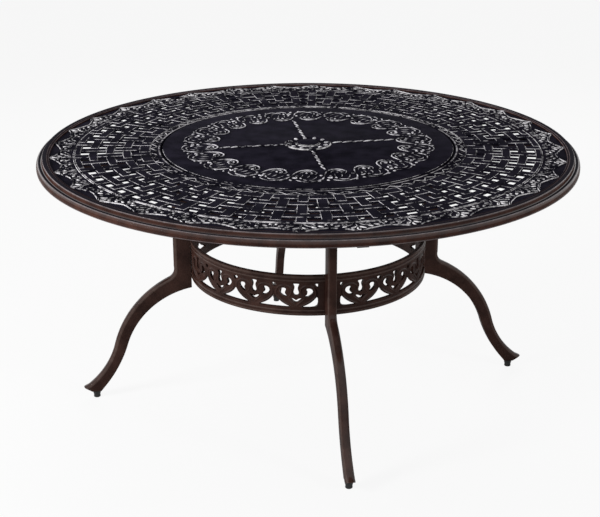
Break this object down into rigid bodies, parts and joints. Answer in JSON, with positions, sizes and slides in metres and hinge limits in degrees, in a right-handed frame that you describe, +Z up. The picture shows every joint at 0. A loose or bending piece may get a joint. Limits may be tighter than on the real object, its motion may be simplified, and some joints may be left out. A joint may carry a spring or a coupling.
{
  "type": "umbrella table",
  "caption": "Round cast patio dining table with a pierced basket-weave top, a sunk turntable over an umbrella hole, curved legs and a heart-scroll apron ring.",
  "frame": {"origin": "on the floor under the centre of the top", "axes": "+Z up along the umbrella hole, legs on the X and Y axes"},
  "size_m": [1.4998, 1.4998, 0.745],
  "materials": {
    "frame_finish": "antique bronze powder coat, satin",
    "top_finish": "near-black bronze powder coat with worn brighter edges",
    "bearing_steel": "zinc plated sheet",
    "bearing_plastic": "natural nylon",
    "glide_plastic": "black nylon"
  },
  "bodies": {
    "table": {"table_rim": "frame_finish", "lattice_segment_1": "top_finish", "lattice_segment_2": "top_finish", "lattice_segment_3": "top_finish", "lattice_segment_4": "top_finish", "lattice_segment_5": "top_finish", "lattice_segment_6": "top_finish", "lattice_segment_7": "top_finish", "lattice_segment_8": "top_finish", "well_ring": "top_finish", "hub_plate": "frame_finish", "pole_sleeve": "frame_finish", "support_arm_1": "frame_finish", "support_arm_2": "frame_finish", "support_arm_3": "frame_finish", "support_arm_4": "frame_finish", "leg_1": "frame_finish", "leg_2": "frame_finish", "leg_3": "frame_finish", "leg_4": "frame_finish", "apron_segment_1": "frame_finish", "apron_segment_2": "frame_finish", "apron_segment_3": "frame_finish", "apron_segment_4": "frame_finish", "bearing_base_plate": "bearing_steel", "bearing_ball_cage": "bearing_plastic"},
    "lazy_susan": {"turntable_disc": "top_finish", "bearing_top_plate": "bearing_steel"},
    "hole_cap": {"umbrella_hole_cap": "top_finish"},
    "foot_1": {"levelling_foot_1": "glide_plastic"},
    "foot_2": {"levelling_foot_2": "glide_plastic"},
    "foot_3": {"levelling_foot_3": "glide_plastic"},
    "foot_4": {"levelling_foot_4": "glide_plastic"}
  },
  "joints": [
    {"name": "turntable_spin", "type": "hinge", "parent": "table", "child": "lazy_susan", "pos_m": [0, 0, 0.7273], "axis": [0, 0, 1], "continuous": true},
    {"name": "cap_lift", "type": "slide", "parent": "lazy_susan", "child": "hole_cap", "axis": [0, 0, 1], "range_m": [0, 0.03]},
    {"name": "foot_screw_1", "type": "slide", "parent": "table", "child": "foot_1", "axis": [0, 0, -1], "range_m": [0, 0.008]},
    {"name": "foot_screw_2", "type": "slide", "parent": "table", "child": "foot_2", "axis": [0, 0, -1], "range_m": [0, 0.008]},
    {"name": "foot_screw_3", "type": "slide", "parent": "table", "child": "foot_3", "axis": [0, 0, -1], "range_m": [0, 0.008]},
    {"name": "foot_screw_4", "type": "slide", "parent": "table", "child": "foot_4", "axis": [0, 0, -1], "range_m": [0, 0.008]}
  ]
}
